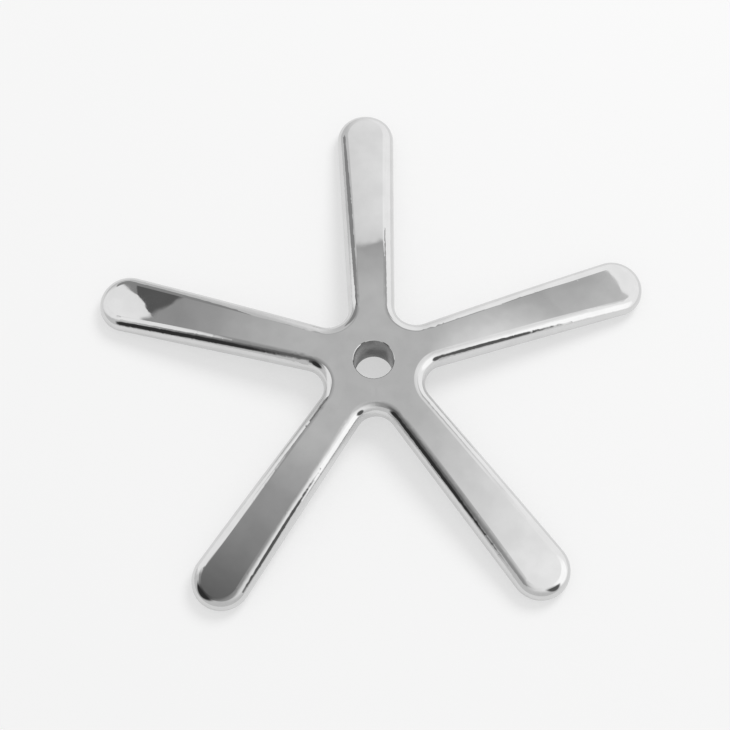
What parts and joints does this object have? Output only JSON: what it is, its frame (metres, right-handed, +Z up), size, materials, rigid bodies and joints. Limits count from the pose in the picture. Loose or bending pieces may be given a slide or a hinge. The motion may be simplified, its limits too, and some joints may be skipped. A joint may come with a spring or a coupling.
{
  "type": "swivel chair base",
  "caption": "Star-shaped swivel chair base, one polished aluminium casting with wide flat round-ended arms, a tapered through bore for a gas spring and sockets for casters.",
  "frame": {"origin": "on the hub's axis, in the plane that the hub's lower face and the caster bosses share, which is the plane the base rests on", "axes": "+Z up along the hub's bore, towards its wide end; +Y along one arm"},
  "size_m": [0.6688, 0.6396, 0.0512],
  "materials": {
    "polished_aluminium": "polished"
  },
  "bodies": {
    "root": {"star_base": "polished_aluminium"}
  },
  "joints": []
}
